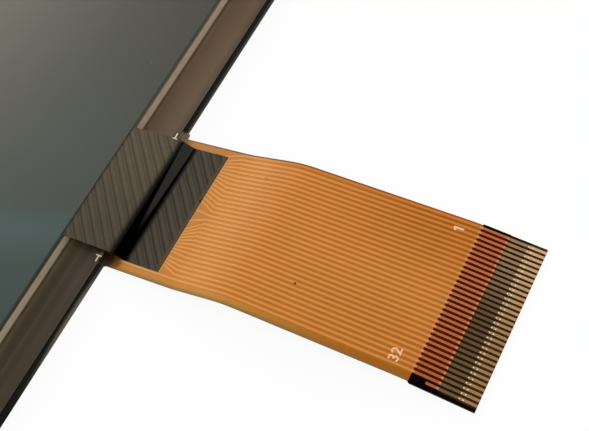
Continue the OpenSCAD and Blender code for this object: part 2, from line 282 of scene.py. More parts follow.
def dress(node, material):
    """Gives a solid of the frame its finish."""
    mesh = nodes[node].data
    mesh.materials.clear()
    mesh.materials.append(material)


def place_of(material):
    """The x, y and z of a surface point in the part's own frame, in metres."""
    tree = material.node_tree
    split = add(tree, "ShaderNodeSeparateXYZ", {0: surface_point(tree)})
    return [Field(socket) for socket in split.outputs]


def rise(value, start, end):
    """A soft step: 0 where value hasn't reached start, and 1 where it is past end."""
    span = {"Value": value, "From Min": start, "From Max": end}
    ramp = add(value.tree, "ShaderNodeMapRange", span, interpolation_type="SMOOTHSTEP")
    return Field(ramp.outputs["Result"])


def blend(share, first, second):
    """A colour from first to second as share goes from 0 to 1. Colours are sockets or four numbers."""
    mix = add(share.tree, "ShaderNodeMix", {"Factor": share, 6: first, 7: second}, data_type="RGBA")
    return mix.outputs[2]


def span_of(across, ahead):
    """The distance that a step across and a step ahead make together."""
    return calc("SQRT", across * across + ahead * ahead)


def streaks(material, length, width):
    """Streaks from 0 to 1 that run along X, about as long and wide as given, in metres."""
    tree = material.node_tree
    stretch = {"Vector": surface_point(tree), "Scale": (1 / length, 1 / width, 0)}
    return noise(add(tree, "ShaderNodeMapping", stretch).outputs[0], scale=1.0, detail=1.5)


film_grey = (0.045, 0.046, 0.044, 1)
ledge_brown = (0.495, 0.318, 0.182, 1)
ledge_dark = (0.195, 0.131, 0.077, 1)
ledge_olive = (0.258, 0.193, 0.109, 1)
ledge_grey = (0.265, 0.2, 0.146, 1)
ledge_painted_glow = (0.6, 0.32, 0.08, 1)
ledge_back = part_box("front_glass")[0].y
glass_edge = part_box("rear_glass")[0].y
left_mark = (-7.9 * mm, glass_edge + 0.35 * mm)
ledge_grey_share = 0.8
ledge_painted_glow_share = 0.5
painted_plate_light_left = 2.4
painted_plate_light_right = 0.65
fade_half = 8 * mm
rear_satin = finish("satin_rear_film", film_grey, grain=150, mottle=0.1, rough=0.4, spread=0.1, gloss=0.05)
x, y, z = place_of(rear_satin)
dark_side = rise(x, fade_half, -fade_half)
streak_share = rise(streaks(rear_satin, length=90 * mm, width=0.9 * mm), 0.35, 0.75)
ledge_tint = blend(dark_side, ledge_brown, blend(streak_share, ledge_dark, ledge_olive))
near_edge = rise(y, glass_edge + 1.7 * mm, glass_edge + 0.5 * mm) * ledge_grey_share
ledge_tint = blend(near_edge * rise(x, -fade_half, fade_half), ledge_tint, ledge_grey)
# Painted glow: a faint amber halo on the ledge round the left-hand mark.
from_mark = span_of(x - left_mark[0], y - left_mark[1])
glow_by_mark = rise(from_mark, 0.75 * mm, 0.1 * mm) * ledge_painted_glow_share
ledge_tint = blend(glow_by_mark, ledge_tint, ledge_painted_glow)
# Painted light: the film is lightened at the foot of the front plate, most towards the left, where the
# plate shades it.
painted_light_at_plate = rise(y, ledge_back - 0.5 * mm, ledge_back + 0.45 * mm)
painted_plate_light = dark_side * (painted_plate_light_left - painted_plate_light_right) + painted_plate_light_right
ledge_tint = join_vectors("SCALE", ledge_tint, painted_light_at_plate * painted_plate_light + 1.0)
on_ledge = rise(y, ledge_back + 2.5 * mm, ledge_back + 1.5 * mm) * rise(z, 0.1 * mm, 0.19 * mm)
tint(rear_satin, blend(on_ledge, film_grey, ledge_tint))
dress("rear_polariser", rear_satin)

# Rear plate. Thin float glass, scribed and snapped, so its faces are smooth and its sides are ground, with
# a fine chamfer. The sides carry painted shade: black along the top and at the far left, with painted light
# as a paler grey low down towards the left. It stands out past the front plate to make the contact ledge.
clear_glass = (0.95, 0.97, 0.95, 1)
polished = finish(
    "polished_glass",
    clear_glass,
    grain=120,
    mottle=0.03,
    rough=0.24,
    spread=0.04,
    gloss=0.25,
    more={"Transmission Weight": 1.0, "IOR": 1.52},
)

side_painted_shade = (0.002, 0.0015, 0.001, 1)
side_dim = (0.075, 0.07, 0.052, 1)
side_painted_light = (0.158, 0.134, 0.091, 1)
rear_side = finish("rear_ground_edge", side_dim, grain=900, mottle=0.4, rough=0.5, spread=0.2, gloss=0.05)
x, y, z = place_of(rear_side)
# Painted shade on the sides: black along the top and at the far left, with painted light as paler grey low
# down towards the left.
side_lit_part = rise(x, -8 * mm, -12.5 * mm) * rise(x, -21 * mm, -14.5 * mm)
shade_from = side_lit_part * (0.18 * mm) + 0.66 * mm
in_side_shade = rise(z - shade_from, -0.38 * mm, 0.2 * mm)
side_tint = blend(side_lit_part, side_dim, side_painted_light)
side_tint = blend(rise(x, -17 * mm, -25 * mm), side_tint, side_painted_shade)
tint(rear_side, blend(in_side_shade, side_tint, side_painted_shade))

glue_depth = 0.01 * mm
rear_chamfer = 0.06 * mm


def glass_plate(name, node, side_finish, chamfer, sink):
    """A plate in place of a plain one, smooth on its faces and ground on its sides, with a ground chamfer
    round its upper face. The lower face sinks into the film that is glued to it, so that no air shows
    between them."""
    low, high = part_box(node)
    low.z -= sink
    middle = (low + high) / 2
    form = bmesh.new()
    bmesh.ops.create_cube(form, size=1.0)
    bmesh.ops.scale(form, vec=high - low, verts=form.verts)
    bmesh.ops.translate(form, vec=middle, verts=form.verts)
    upper_edges = [edge for edge in form.edges if min(corner.co.z for corner in edge.verts) > middle.z]
    bmesh.ops.bevel(form, geom=upper_edges, offset=chamfer, segments=1, affect="EDGES")
    for face in form.faces:
        lies_flat = abs(face.normal.z) > 0.9
        face.material_index = 0 if lies_flat else 1
    mesh = mesh_of(name, form)
    mesh.materials.append(polished)
    mesh.materials.append(side_finish)
    plate = placed(name, mesh)
    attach(plate, "root")
    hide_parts(node)


glass_plate("rear_plate", "rear_glass", rear_side, rear_chamfer, glue_depth)

# Seal, fill and end plug. The seal is a screened line of grey resin between the plates and the fill is a
# clear fluid. The plug is a bead of clear resin, wiped over the fill port at the right and cured there.
seal_grey = (0.5, 0.5, 0.44, 1)
fill_dark = (0.1, 0.13, 0.12, 1)
plug_amber = (0.32, 0.28, 0.2, 1)
dress("perimeter_seal", finish("grey_seal", seal_grey, grain=800, mottle=0.2, rough=0.6, spread=0.1))
dress("liquid_crystal", finish("clear_fill", fill_dark, grain=200, mottle=0.1, rough=0.2, spread=0.05))
port_resin = finish(
    "port_resin",
    plug_amber,
    grain=1500,
    mottle=0.5,
    rough=0.22,
    spread=0.1,
    bump=0.01 * mm,
    more={"Coat Weight": 0.5, "Coat Roughness": 0.1},
)
dress("fill_port_plug", port_resin)

# Front plate. The same glass, shorter by the ledge and held by the seal. Its snapped side is the pale strip
# beside the ledge, and the ground chamfer above that carries painted shade, darker towards the left.
strip_beige = (0.66, 0.54, 0.38, 1)
chamfer_shade = (0.105, 0.087, 0.056, 1)
chamfer_deep_shade = (0.05, 0.042, 0.025, 1)
front_chamfer = 0.19 * mm
chamfer_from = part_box("front_glass")[1].z - front_chamfer
chamfer_fade = 0.05 * mm
front_side = finish(
    "front_ground_edge", strip_beige, grain=900, mottle=0.3, rough=0.5, spread=0.2, gloss=0.1
)
x, y, z = place_of(front_side)
# Painted shade on the chamfer, darker towards the left.
chamfer_shade_tint = blend(rise(x, fade_half, -fade_half), chamfer_shade, chamfer_deep_shade)
on_chamfer = rise(z, chamfer_from - chamfer_fade, chamfer_from + chamfer_fade)
tint(front_side, blend(on_chamfer, strip_beige, chamfer_shade_tint))
glass_plate("front_plate", "front_glass", front_side, front_chamfer, sink=0)

# Front polariser. A satin film glued over the front plate. It looks dark grey, olive towards one end and
# teal towards the other, with a painted reflection as a faint teal band by the tape, a painted sheen
# towards the back, a dark rim along its cut edge that is partly the cut glue line and partly painted shade,
# and flecks of dust.
dust_flecks, given, result = node_group(
    "dust_flecks",
    "ShaderNodeTree",
    {"Scale": "Float", "Size": "Float", "Share": "Float"},
    {"Mask": "Float"},
)
dust_place = {"Vector": surface_point(dust_flecks), "Scale": given["Scale"]}
dust_cells = add(dust_flecks, "ShaderNodeTexVoronoi", dust_place).outputs
dust_draw = Field(add(dust_flecks, "ShaderNodeSeparateColor", {0: dust_cells["Color"]}).outputs[0])
feed(result["Mask"], (dust_draw < given["Share"]) * (Field(dust_cells["Distance"]) < given["Size"]))


def dusted(material, colour, fleck, scale, size, share):
    """The colour with flecks on it. Scale is the number of cells in a metre, size the part of a cell that a
    fleck fills, and share the part of the cells that hold one."""
    values = {"Scale": scale, "Size": size, "Share": share}
    flecks = add(material.node_tree, "ShaderNodeGroup", values, node_tree=dust_flecks)
    return blend(Field(flecks.outputs["Mask"]), colour, fleck)


film_olive = (0.064, 0.062, 0.051, 1)
film_middle = (0.0615, 0.0685, 0.0555, 1)
film_teal = (0.03, 0.072, 0.068, 1)
film_painted_reflection = (0.058, 0.088, 0.081, 1)
film_painted_sheen = (0.085, 0.078, 0.048, 1)
film_rim = (0.062, 0.059, 0.045, 1)
film_side = (0.125, 0.12, 0.095, 1)
film_dust = (0.1, 0.1, 0.09, 1)
band_lean = -0.3
band_from = -11.64 * mm
band_half = 4.4 * mm
rim_width = 0.2 * mm
film_low, film_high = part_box("front_polariser")
film_centre = (film_low + film_high) / 2
front_satin = finish(
    "satin_front_film", film_olive, grain=60, mottle=0.1, rough=0.36, spread=0.06, gloss=0.15
)
x, y, z = place_of(front_satin)
side_tint = blend(rise(x, 20 * mm, 0), film_olive, film_middle)
side_tint = blend(rise(x, 4 * mm, -34 * mm), side_tint, film_teal)
# Painted reflection as the teal band by the tape, and painted sheen towards the back.
off_band = abs(x - (y * band_lean + band_from))
side_tint = blend(rise(off_band, band_half, 0) * rise(y, 2 * mm, -9 * mm), side_tint, film_painted_reflection)
side_tint = blend(rise(y, -10 * mm, 16 * mm) * rise(x, -30 * mm, 0), side_tint, film_painted_sheen)
# The dark rim is partly the cut glue line and partly painted shade.
from_side = abs(x) - film_high.x
from_front = abs(y - film_centre.y) - (film_high.y - film_centre.y)
on_shaded_rim = rise(most(from_side, from_front), -rim_width, -0.3 * rim_width)
film_tint = blend(on_shaded_rim, side_tint, film_rim)
film_tint = dusted(front_satin, film_tint, film_dust, scale=260, size=0.03, share=0.3)
on_side = rise(z, film_high.z - 0.02 * mm, film_high.z - 0.05 * mm)
tint(front_satin, blend(on_side, film_tint, film_side))
dress("front_polariser", front_satin)

# Driver chip. A bare sliver of silicon with a ground back, pressed face down on the ledge while hot. A film
# of conductive glue joins it to the glass, and another one joins the flex.
chip_grey = (0.035, 0.035, 0.04, 1)
glue_dark = (0.09, 0.065, 0.03, 1)
dull_shine = {"Metallic": 0.4}
silicon = finish(
    "ground_silicon", chip_grey, grain=700, mottle=0.3, rough=0.35, spread=0.1, more=dull_shine
)
dress("driver_chip", silicon)
bond_glue = finish("bond_glue", glue_dark, grain=2500, mottle=0.4, rough=0.5, spread=0.1, gloss=0.2)
dress("chip_bond_film", bond_glue)
dress("flex_bond_film", bond_glue)

# Alignment marks. Bright metal film on the ledge at both ends of the bond, by which the flex is set down.
# The part of the left-hand mark that is next to the tape is dimmed with painted shade from the tape.
mark_gold = (0.95, 0.8, 0.5, 1)
mark_painted_shade = (0.3, 0.21, 0.08, 1)
faint_shine = {"Metallic": 0.2}
mark_metal = finish(
    "mark_metal", mark_gold, grain=2500, mottle=0.2, rough=0.3, spread=0.15, more=faint_shine
)
x, y, z = place_of(mark_metal)
# Painted shade from the tape on the left-hand mark.
by_tape = rise(x, -7.2 * mm, -7.14 * mm) * rise(x, 1 * mm, 0)
tint(mark_metal, blend(by_tape, mark_gold, mark_painted_shade))
dress("alignment_marks", mark_metal)

# Flex films. Amber polyimide is pressed over and under rolled copper lines, so each line stands up as a low
# ridge and shows a paler orange. The lines leave the bond in bundles and fan out to the pitch of the tail.
# The stiffener under the tail shows through as maroon, and the bonded corners are browned by resin, the
# left one with painted shade too. Painted light makes the film and lines paler before the crease and the
# right margin by the bond a lighter orange, painted shade darkens the bonded end under the tape, and
# painted highlights lie along the tape's front edge and on the lines at the stiffener's start and the
# cover's end.


def least(first, second):
    """The smaller of two numbers at each point."""
    return calc("MINIMUM", first, second)


def upper_line(node, slack=0.03 * mm):
    """The (y, z) points along the upper side of a bent sheet, from the panel outwards. Points that lie
    under the line between their neighbours by more than the slack, or at the foot of an end, belong to the
    lower side."""
    tops = {}
    for vertex in nodes[node].data.vertices:
        place = round(vertex.co.y, 7)
        tops[place] = max(tops.get(place, -1.0), vertex.co.z)
    line = np.array(sorted(tops.items(), reverse=True))
    while True:
        before, here, after = line[:-2], line[1:-1], line[2:]
        share = (here[:, 0] - before[:, 0]) / (after[:, 0] - before[:, 0])
        depth = before[:, 1] + share * (after[:, 1] - before[:, 1]) - here[:, 1]
        lowest = int(depth.argmax())
        if depth[lowest] < slack:
            break
        line = np.delete(line, lowest + 1, axis=0)
    steep = np.abs(np.diff(line[:, 1])) > np.abs(np.diff(line[:, 0]))
    return line[int(steep[0]):len(line) - int(steep[-1])]


def at_distance(distance, run, values):
    """A pair of values at a distance along a line, read between its points."""
    return np.array([np.interp(distance, run, values[:, k]) for k in (0, 1)])


def smooth_line(line, spacing, reach):
    """The same line with even points and its bends blended over a reach. Returns distances and points."""
    run = np.concatenate([[0], np.cumsum(np.linalg.norm(np.diff(line, axis=0), axis=1))])
    even = np.linspace(0, run[-1], int(run[-1] / spacing) + 1)
    points = at_distance(even, run, line).T
    half = int(reach / spacing)
    window = np.hanning(2 * half + 3)[1:-1]
    padded = np.concatenate([
        2 * points[0] - points[half:0:-1],
        points,
        2 * points[-1] - points[-2:-half - 2:-1],
    ])
    blended = [np.convolve(padded[:, k], window / window.sum(), "valid") for k in (0, 1)]
    return even, np.stack(blended, axis=1)


def distance_at(line, y):
    """The distance along a smooth line to where it passes a y."""
    run, points = line
    return float(np.interp(-y, -points[:, 0], run))


def station_mesh(name, line, distances, zero, reaches, sink=0.0):
    """A row of points at distances along a smooth line for a node tree to read, with the way up, the
    distance from a zero point and the sheet's half width at each. With a sink, the row lies under the line
    and its way up is down."""
    run, points = line
    slope = np.gradient(points, run, axis=0)
    places = []
    ups = []
    for distance in distances:
        run_y, run_z = at_distance(distance, run, slope)
        up = Vector((0, run_z, -run_y)).normalized()
        places.append(Vector((0, *at_distance(distance, run, points))) - sink * up)
        ups.append(-up if sink else up)
    mesh = bpy.data.meshes.new(name)
    mesh.from_pydata(places, [], [])
    mesh.attributes.new("up", "FLOAT_VECTOR", "POINT").data.foreach_set("vector", np.ravel(ups))
    mesh.attributes.new("along", "FLOAT", "POINT").data.foreach_set("value", np.float32(distances - zero))
    mesh.attributes.new("reach", "FLOAT", "POINT").data.foreach_set("value", np.float32(reaches))
    return mesh


def sampled(tree, points, name, kind, index):
    """An attribute of a row of points, read at an index."""
    named = add(tree, "GeometryNodeInputNamedAttribute", {"Name": name}, data_type=kind)
    reading = {"Geometry": points, "Value": named.outputs["Attribute"], "Index": index}
    return add(tree, "GeometryNodeSampleIndex", reading, data_type=kind).outputs["Value"]


def sheet_tree(name, columns):
    """Starts a node tree that makes a sheet from a row of points. Each point becomes a row of the sheet
    with a number of columns. Returns what the sheet's shape is worked out from, and end_sheet ends it."""
    shape = {"Geometry": "Geometry"}
    tree, given, result = node_group(name, "GeometryNodeTree", shape, shape)
    points = given["Geometry"]
    rows = add(tree, "GeometryNodeAttributeDomainSize", {0: points}).outputs["Point Count"]
    grid = add(tree, "GeometryNodeMeshGrid", {"Vertices X": columns, "Vertices Y": rows})
    index = Field(add(tree, "GeometryNodeInputIndex").outputs[0])
    column = calc("FLOOR", (index + 0.5) / rows)
    row = index - column * rows
    return SimpleNamespace(
        tree=tree,
        given=given,
        result=result,
        points=points,
        grid=grid.outputs["Mesh"],
        column=column,
        place=sampled(tree, points, "position", "FLOAT_VECTOR", row),
        up=sampled(tree, points, "up", "FLOAT_VECTOR", row),
        along=Field(sampled(tree, points, "along", "FLOAT", row)),
        reach=Field(sampled(tree, points, "reach", "FLOAT", row)),
    )


def new_input(sheet, name, kind="NodeSocketFloat"):
    """Adds a named input to a sheet's tree and returns it."""
    sheet.tree.interface.new_socket(name=name, in_out="INPUT", socket_type=kind)
    return Field(sheet.given[name])


def end_sheet(sheet, x, lift, picks, back=None):
    """Ends a sheet's tree: puts each point at x across and lift above its row, and back along the sheet
    where that is given. Each pick names a finish and gives the mask of the faces that take it after the
    main finish."""
    whole_face = 0.8
    tree = sheet.tree
    across = add(tree, "ShaderNodeCombineXYZ", {0: x}).outputs[0]
    target = join_vectors("ADD", sheet.place, across)
    target = join_vectors("ADD", target, join_vectors("SCALE", sheet.up, lift))
    along = sheet.along
    if back is not None:
        up_y, up_z = add(tree, "ShaderNodeSeparateXYZ", {0: sheet.up}).outputs[1:]
        backwards = add(tree, "ShaderNodeCombineXYZ", {1: up_z, 2: Field(up_y) * -1.0}).outputs[0]
        target = join_vectors("ADD", target, join_vectors("SCALE", backwards, back))
        along = along - back
    mark = {"Geometry": sheet.grid, "Name": "along", "Value": along}
    marked = add(tree, "GeometryNodeStoreNamedAttribute", mark).outputs[0]
    moved = add(tree, "GeometryNodeSetPosition", {"Geometry": marked, "Position": target}).outputs[0]
    shape = add(tree, "GeometryNodeRealizeInstances", {0: moved}).outputs[0]
    for name, mask in {"Main finish": None, **picks}.items():
        paint = {"Geometry": shape, "Material": new_input(sheet, name, "NodeSocketMaterial")}
        if mask is not None:
            on_points = add(tree, "GeometryNodeFieldOnDomain", {0: mask}).outputs[0]
            paint["Selection"] = Field(on_points) > whole_face
        shape = add(tree, "GeometryNodeSetMaterial", paint).outputs[0]
    feed(sheet.result["Geometry"], shape)


merge_within = 0.0005 * mm


def close_up(mesh):
    """Merges a mesh's doubles, closes its ends and turns its faces outwards."""
    form = bmesh.new()
    form.from_mesh(mesh)
    bmesh.ops.remove_doubles(form, verts=form.verts, dist=merge_within)
    bmesh.ops.holes_fill(form, edges=form.edges)
    bmesh.ops.recalc_face_normals(form, faces=form.faces)
    form.to_mesh(mesh)
    form.free()


def grown(name, start_mesh, tree, values, soft_angle):
    """Runs a node tree on a mesh with the named values and returns a plain closed object at the origin.
    Edges up to the soft angle, in degrees, are shaded smooth."""
    seed = placed(name + "_seed", start_mesh)
    modifier = seed.modifiers.new("grow", "NODES")
    modifier.node_group = tree
    for item in tree.interface.items_tree:
        if item.in_out == "INPUT" and item.name in values:
            modifier[item.identifier] = values[item.name]
    graph = bpy.context.evaluated_depsgraph_get()
    made = seed.evaluated_get(graph)
    mesh = bpy.data.meshes.new_from_object(made, preserve_all_data_layers=True, depsgraph=graph)
    mesh.name = name
    seed.modifiers.remove(modifier)
    bpy.data.objects.remove(seed)
    if mesh.materials[0] is None:
        mesh.materials.pop(index=0)
    close_up(mesh)
    mesh.polygons.foreach_set("use_smooth", [True] * len(mesh.polygons))
    mesh.set_sharp_from_angle(angle=math.radians(soft_angle))
    return placed(name, mesh)


line_spacing = 0.05 * mm
bend_blend = 0.8 * mm
stiffener_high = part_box("tail_stiffener")[1]
cover_line = smooth_line(upper_line("flex_coverlay"), line_spacing, bend_blend)
cover_zero = distance_at(cover_line, glass_edge)
tail_from = distance_at(cover_line, stiffener_high.y) - cover_zero
cover_to = float(cover_line[0][-1]) - cover_zero
shoulder_at = 1.05 * mm
stub_from = 36.64 * mm
fan_from = 6.5 * mm
fan_to = 9.15 * mm
tongue_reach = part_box("flex_bond_film")[1].x
tail_reach = stiffener_high.x
body_reach = tail_reach - 0.1 * mm
film_values = {
    "Tail pitch": 0.5 * mm,
    "Tail line width": 0.235 * mm,
    "Bond line width": 0.14 * mm,
    "Sideways shift": 0.09 * mm,
    "Fan start": fan_from,
    "Fan end": fan_to,
    "Last line start": stub_from,
    "Tail start": tail_from,
    "Ridge flank": 0.025 * mm,
    "Half width of the row": 8.05 * mm,
}

# Across the top of a film, each line has four corners: foot, crest, crest and foot. A column at each rim
# and three more, for the underside and the seam, close the film's section.
line_count = 32
middle_line = 15
corners = 4
top_columns = corners * line_count + 2
film = sheet_tree("ridged_film", top_columns + 3)
film_size = {name: new_input(film, name) for name in (*film_values, "Ridge height", "Depth")}
ridge = film_size["Ridge height"]
ridge_column = film.column - 1.0
line_index = calc("FLOOR", (ridge_column + 0.5) / corners)
corner = ridge_column - line_index * corners
rank = line_index - middle_line
tail_x = film_size["Tail pitch"] * (0.5 - rank) + film_size["Sideways shift"]
bond_x = Field(sampled(film.tree, film.points, "bond_place", "FLOAT", line_index))
fan_run = film_size["Fan end"] - film_size["Fan start"]
fanned = least(most((film.along - film_size["Fan start"]) / fan_run, 0.0), 1.0)
spread_x = (tail_x - bond_x) * fanned + bond_x
line_x = spread_x * least(film.reach / film_size["Half width of the row"], 1.0)
bond_width = film_size["Bond line width"]
line_width = (film_size["Tail line width"] - bond_width) * fanned + bond_width
line_side = calc("SIGN", 1.5 - corner)
at_foot = abs(corner - 1.5) > 1.0
ridge_x = line_side * (at_foot * film_size["Ridge flank"] + line_width * 0.5) + line_x
on_ridge = calc("COMPARE", film.column, (top_columns - 1) / 2, top_columns / 2 - 1)
underneath = calc("COMPARE", film.column, top_columns + 0.5, 0.6)
on_left = calc("COMPARE", film.column, top_columns - 0.5, 0.6)
rim_x = (on_left * -2.0 + 1.0) * film.reach
film_x = on_ridge * (ridge_x - rim_x) + rim_x
line_here = most(line_index < line_count - 1.5, film.along > film_size["Last line start"])
crest = on_ridge * line_here * (1 - at_foot)
film_lift = (crest - 1.0) * ridge + underneath * (ridge - film_size["Depth"])
on_tail = film.along > film_size["Tail start"]
end_sheet(film, film_x, film_lift, {"Tail finish": on_tail, "Line finish": crest})

# The bundles at the bond, each given by its first line, that line's place and the spacing of its lines.
bundles = (
    (0, 7.16 * mm, 0),
    (1, 6.49 * mm, 0.27 * mm),
    (9, 4.1 * mm, 0.42 * mm),
    (15, 0.63 * mm, 0),
    (16, -0.98 * mm, 0),
    (17, -2.42 * mm, 0.24 * mm),
    (26, -5.01 * mm, 0.24 * mm),
    (30, -7.13 * mm, 0.4 * mm),
)


def film_rows(name, line, zero, sink=0.0):
    """The row of points for a film of the flex, with a pair of rows at each change of width or finish."""
    row_count = 130
    half_step = 0.003 * mm
    length = line[0][-1]
    distances = np.linspace(0, length, row_count)
    for stop in (shoulder_at, tail_from, stub_from):
        distances = np.append(distances, [zero + stop - half_step, zero + stop + half_step])
    distances = np.unique(np.append(distances, [zero + fan_from, zero + fan_to]))
    distances = distances[distances <= length]
    reaches = np.where(distances < zero + shoulder_at, tongue_reach, body_reach)
    reaches = np.where(distances > zero + tail_from, tail_reach, reaches)
    mesh = station_mesh(name, line, distances, zero, reaches, sink)
    places = np.zeros(len(distances), np.float32)
    for first, start_x, spacing in bundles:
        for number in range(first, line_count):
            places[number] = start_x - (number - first) * spacing
    mesh.attributes.new("bond_place", "FLOAT", "POINT").data.foreach_set("value", places)
    return mesh


def flex_distance(material):
    """The distance along a sheet, in metres, that its node tree has kept on it."""
    return Field(add(material.node_tree, "ShaderNodeAttribute", attribute_name="along").outputs["Fac"])


def browned(x, along, colour):
    """The colour, browned by resin in its two corners, the left one with painted shade too, and darkened by
    painted shade at the bonded end under the tape.
    """
    wander = (noise(surface_point(x.tree), scale=900) - 0.5) * resin_wander
    left_corner = rise(x + wander, -5.6 * mm, -6.8 * mm)
    near_bond = rise(along + wander, 2.9 * mm, 2.1 * mm)
    at_bond = rise(along + wander, 2.1 * mm, 1.4 * mm)
    shade_under_tape = rise(along, 1.1 * mm, 0.7 * mm)
    colour = blend(left_corner * near_bond, colour, resin_amber)
    right_corner = rise(x, 6 * mm, 7 * mm) * rise(along, 2.4 * mm, 1 * mm)
    colour = blend(right_corner * resin_right_share, colour, resin_amber)
    return blend(most(left_corner * at_bond, shade_under_tape), colour, resin_and_shade_brown)


def specked(x, along, colour):
    """The colour with the dark specks that are caught under the film."""
    for speck_x, speck_along, speck_size, speck_depth in specks:
        away = span_of(x - speck_x, along - speck_along)
        colour = blend(rise(away, speck_size, speck_size / 2) * speck_depth, colour, film_speck)
    return colour


def deepened(x, along, colour, right_depth, left_depth):
    """The colour, a little deeper towards the tail on both sides, and along the right-hand rim past the
    bend."""
    sides = rise(x, 1 * mm, -5 * mm) * left_depth + rise(x, -2 * mm, 8 * mm) * right_depth
    right_rim = rise(x, 7.4 * mm, 7.8 * mm) * rise(along, 9 * mm, 17 * mm)
    tail_sides = sides * rise(along, 16 * mm, 34 * mm)
    return blend(most(tail_sides, right_rim * film_rim_share), colour, film_deep)


def paled(x, y, colour):
    """The colour with a painted highlight: the pale line along the tape's front edge on the film."""
    by_tape = rise(y, tape_stop - 0.26 * mm, tape_stop - 0.1 * mm) * rise(abs(x), 7.3 * mm, 7.1 * mm)
    return blend(by_tape * tape_edge_highlight_share, colour, tape_edge_highlight)


film_amber = (0.49, 0.162, 0.022, 1)
film_lit_before_crease = (0.53, 0.195, 0.03, 1)
film_deep = (0.36, 0.085, 0.0, 1)
film_margin = (0.33, 0.132, 0.006, 1)
film_gold = (0.5, 0.215, 0.035, 1)
film_lit_orange = (0.45, 0.185, 0.05, 1)
film_edge = (0.12, 0.08, 0.03, 1)
film_rim_left = (0.25, 0.14, 0.03, 1)
film_speck = (0.05, 0.015, 0.003, 1)
tape_edge_highlight = (0.64, 0.38, 0.17, 1)
resin_and_shade_brown = (0.035, 0.011, 0.002, 1)
resin_amber = (0.17, 0.06, 0.004, 1)
resin_wander = 1.6 * mm
resin_right_share = 0.8
film_rim_share = 0.35
tape_edge_highlight_share = 0.7
tape_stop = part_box("cover_tape")[0].y
specks = ((-3.73 * mm, 21.84 * mm, 0.16 * mm, 0.9), (5.75 * mm, 13.25 * mm, 0.28 * mm, 0.2))
crease_start = 12 * mm
crease_end = 15 * mm
left_line = -7.4 * mm
right_line = 7.98 * mm
line_fade = 0.05 * mm
cover_amber = finish(
    "cover_polyimide", film_amber, grain=250, mottle=0.14, rough=0.48, spread=0.08, gloss=0.1
)
along = flex_distance(cover_amber)
x, y, z = place_of(cover_amber)
# Painted light: the film is paler before the crease, where it faces the light.
amber_tint = blend(rise(along, crease_end, crease_start), film_amber, film_lit_before_crease)
left_tint = blend(rise(along, 16 * mm, 33 * mm), film_gold, film_margin)
left_tint = blend(rise(x, -7.65 * mm, -body_reach), left_tint, film_rim_left)
amber_tint = blend(rise(x, left_line, left_line - line_fade), amber_tint, left_tint)
# Painted light: the right margin by the bond is a lighter orange where its slope faces the light.
right_share = rise(x, 6.4 * mm, 7.2 * mm) * rise(along, 12 * mm, 3 * mm)
amber_tint = blend(right_share, amber_tint, film_lit_orange)
edge_share = rise(x, right_line, right_line + line_fade) * rise(along, -6 * mm, 10 * mm)
amber_tint = specked(x, along, blend(edge_share, amber_tint, film_edge))
amber_tint = paled(x, y, deepened(x, along, amber_tint, right_depth=0.9, left_depth=0.4))
tint(cover_amber, browned(x, along, amber_tint))

tail_maroon = (0.09, 0.005, 0.0004, 1)
tail_black = (0.004, 0.0018, 0.0008, 1)
tail_amber = finish("tail_polyimide", tail_maroon, grain=500, mottle=0.2, rough=0.4, spread=0.1, gloss=0.0)
x, y, z = place_of(tail_amber)
left_margin = rise(x, left_line + line_fade, left_line)
at_margin = most(left_margin, rise(x, right_line, right_line + line_fade))
tint(tail_amber, blend(at_margin, tail_maroon, tail_black))

line_orange = (0.68, 0.262, 0.055, 1)
line_lit_before_crease = (0.69, 0.288, 0.068, 1)
line_brown = (0.4, 0.135, 0.038, 1)
line_rose = (0.49, 0.185, 0.08, 1)
line_painted_glint = (0.66, 0.31, 0.11, 1)
line_copper = finish(
    "copper_under_film", line_orange, grain=250, mottle=0.14, rough=0.48, spread=0.08, gloss=0.1
)
along = flex_distance(line_copper)
x, y, z = place_of(line_copper)
over_stiffener = rise(along, tail_from - line_fade, tail_from + line_fade)
# Painted light: the lines are paler before the crease, where they face the light.
line_tint = blend(rise(along, crease_end, crease_start), line_orange, line_lit_before_crease)
tail_tint = blend(rise(x, -7 * mm, 7 * mm), line_brown, line_rose)
line_tint = specked(x, along, blend(over_stiffener, line_tint, tail_tint))
# Painted glints: paler highlights on the lines at the start of the stiffener and at the end of the cover.
painted_glints = most(rise(abs(along - tail_from), 0.25 * mm, 0), rise(along, cover_to - 0.3 * mm, cover_to))
line_tint = paled(x, y, deepened(x, along, line_tint, right_depth=0.35, left_depth=0.15))
tint(line_copper, browned(x, along, blend(painted_glints, line_tint, line_painted_glint)))

cover_film = grown("flex_cover_film", film_rows("cover_rows", cover_line, cover_zero), film.tree, {
    **film_values,
    "Ridge height": 0.02 * mm,
    "Depth": 0.085 * mm,
    "Main finish": cover_amber,
    "Tail finish": tail_amber,
    "Line finish": line_copper,
}, soft_angle=35)
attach(cover_film, "root")
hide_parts("flex_coverlay")

base_amber = (0.38, 0.12, 0.008, 1)
tail_brown = (0.028, 0.0095, 0.0008, 1)
tip_brown = (0.055, 0.02, 0.0016, 1)
base_polyimide = finish(
    "base_polyimide", base_amber, grain=250, mottle=0.14, rough=0.34, spread=0.08, gloss=0.22
)
bare_tail = finish("bare_tail_film", tail_brown, grain=700, mottle=0.3, rough=0.4, spread=0.1, gloss=0.0)
x, y, z = place_of(bare_tail)
tip_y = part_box("flex_conductors")[0].y
bare_tint = blend(rise(y, tip_y + 1.9 * mm, tip_y + 1.1 * mm), tail_brown, tip_brown)
at_margin = rise(x, left_line - 0.5 * mm, left_line - 0.6 * mm)
tint(bare_tail, blend(at_margin, bare_tint, tail_black))

